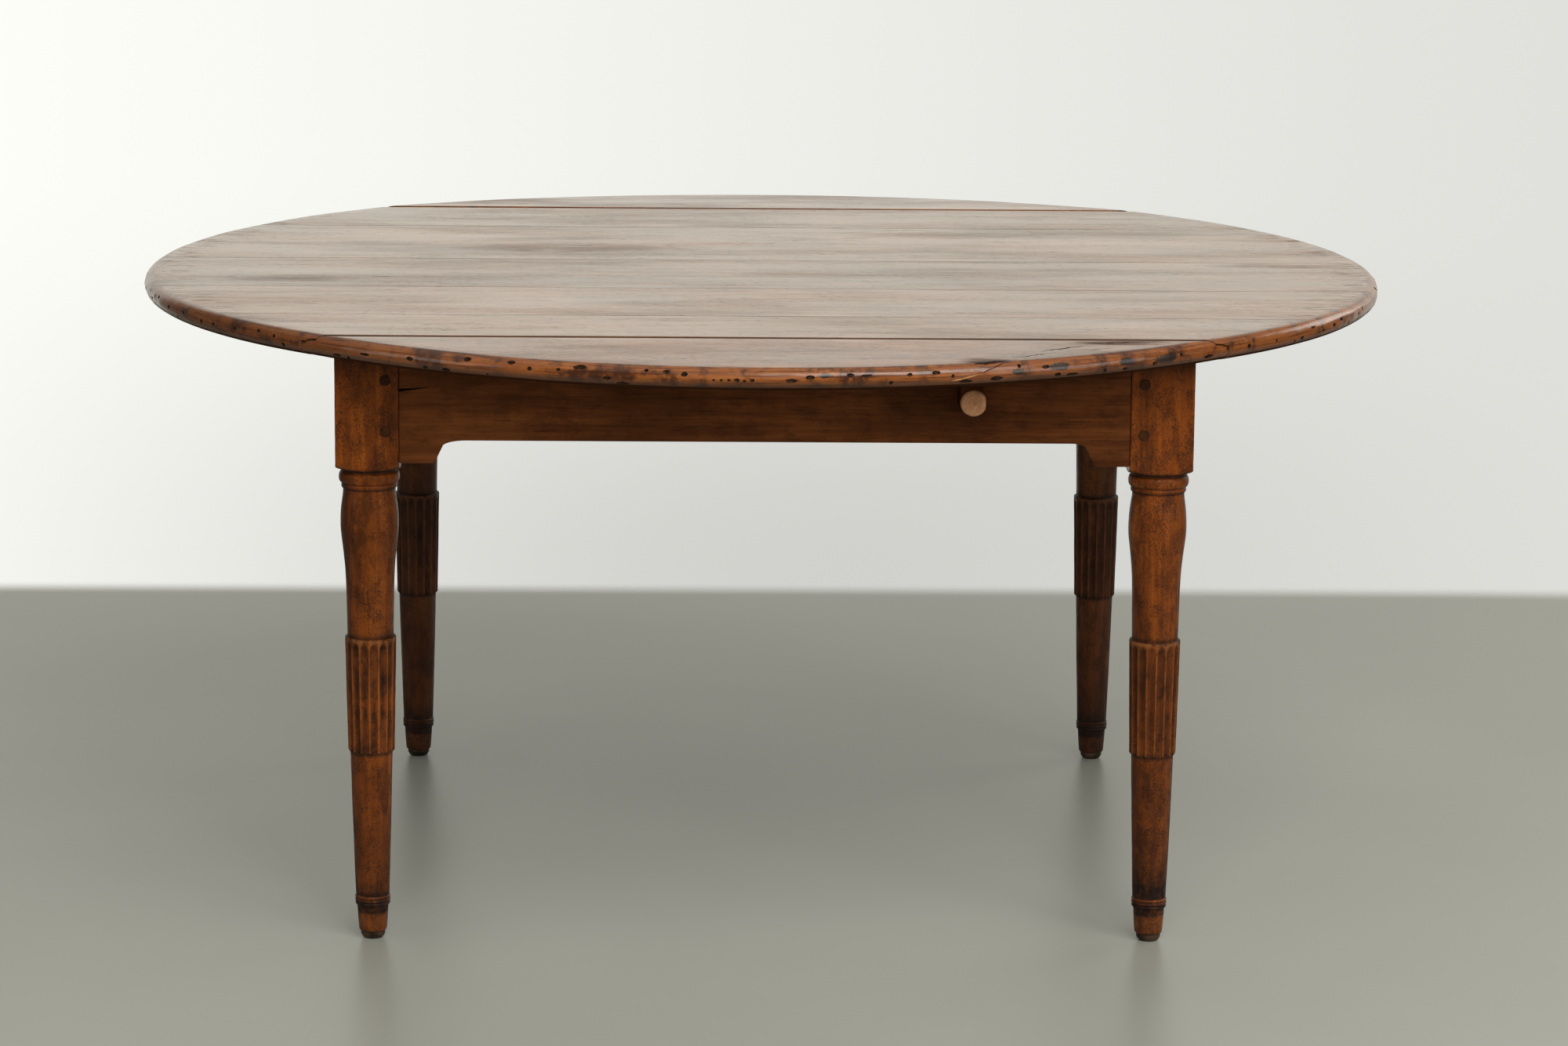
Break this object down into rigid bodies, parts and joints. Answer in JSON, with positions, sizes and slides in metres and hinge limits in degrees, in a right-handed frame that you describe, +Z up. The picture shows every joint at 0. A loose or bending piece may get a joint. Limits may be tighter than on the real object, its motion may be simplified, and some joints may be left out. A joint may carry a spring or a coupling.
{
  "type": "round drop-leaf table",
  "caption": "Round wooden drop-leaf table on turned, fluted legs, with pegged aprons, rule-jointed leaves and pull-out leaf slides with knobs.",
  "frame": {"origin": "on the floor, under the centre of the round top", "axes": "+X along the hinge lines to the right, +Y to the back, +Z up"},
  "size_m": [1.53, 1.5301, 0.74],
  "materials": {
    "top_wood": "worn wax",
    "leaf_wood": "worn wax",
    "leg_wood": "worn wax",
    "apron_wood": "worn wax",
    "peg_wood": "worn wax",
    "knob_wood": "worn wax",
    "inner_wood": "bare planed",
    "iron": "dull, aged",
    "foot_metal": "dull, aged"
  },
  "bodies": {
    "frame": {"back_apron": "apron_wood", "back_cleat_1": "inner_wood", "back_cleat_2": "inner_wood", "back_hinge_pins": "iron", "back_hinge_top_flaps": "iron", "back_hinge_top_screws": "iron", "back_inner_runner": "inner_wood", "back_keeper": "inner_wood", "back_left_foot_pad": "foot_metal", "back_left_leg": "leg_wood", "back_left_pegs": "peg_wood", "back_outer_runner": "inner_wood", "back_right_foot_pad": "foot_metal", "back_right_leg": "leg_wood", "back_right_pegs": "peg_wood", "cleat_screws": "iron", "front_apron": "apron_wood", "front_cleat_1": "inner_wood", "front_cleat_2": "inner_wood", "front_hinge_pins": "iron", "front_hinge_top_flaps": "iron", "front_hinge_top_screws": "iron", "front_inner_runner": "inner_wood", "front_keeper": "inner_wood", "front_left_foot_pad": "foot_metal", "front_left_leg": "leg_wood", "front_left_pegs": "peg_wood", "front_outer_runner": "inner_wood", "front_right_foot_pad": "foot_metal", "front_right_leg": "leg_wood", "front_right_pegs": "peg_wood", "keeper_screws": "iron", "left_apron": "apron_wood", "left_cleat_1": "inner_wood", "left_cleat_2": "inner_wood", "right_apron": "apron_wood", "right_cleat_1": "inner_wood", "right_cleat_2": "inner_wood", "runner_screws": "iron", "top_board_1": "top_wood", "top_board_2": "top_wood", "top_board_3": "top_wood", "top_board_4": "top_wood", "top_board_5": "top_wood"},
    "front_leaf": {"front_hinge_leaf_flaps": "iron", "front_hinge_leaf_screws": "iron", "front_leaf": "leaf_wood"},
    "back_leaf": {"back_hinge_leaf_flaps": "iron", "back_hinge_leaf_screws": "iron", "back_leaf": "leaf_wood"},
    "front_slide": {"front_knob": "knob_wood", "front_slide": "inner_wood", "front_slide_stop": "inner_wood"},
    "back_slide": {"back_knob": "knob_wood", "back_slide": "inner_wood", "back_slide_stop": "inner_wood"}
  },
  "joints": [
    {"name": "front_leaf_hinge", "type": "hinge", "parent": "frame", "child": "front_leaf", "pos_m": [0, -0.565, 0.717], "axis": [1, 0, 0], "range_deg": [-1.2, 88.8]},
    {"name": "back_leaf_hinge", "type": "hinge", "parent": "frame", "child": "back_leaf", "pos_m": [0, 0.565, 0.717], "axis": [-1, 0, 0], "range_deg": [-1.8, 88.2]},
    {"name": "front_slide_pull", "type": "slide", "parent": "frame", "child": "front_slide", "axis": [0, -1, 0], "range_m": [-0.045, 0]},
    {"name": "back_slide_pull", "type": "slide", "parent": "frame", "child": "back_slide", "axis": [0, 1, 0], "range_m": [-0.045, 0]}
  ]
}
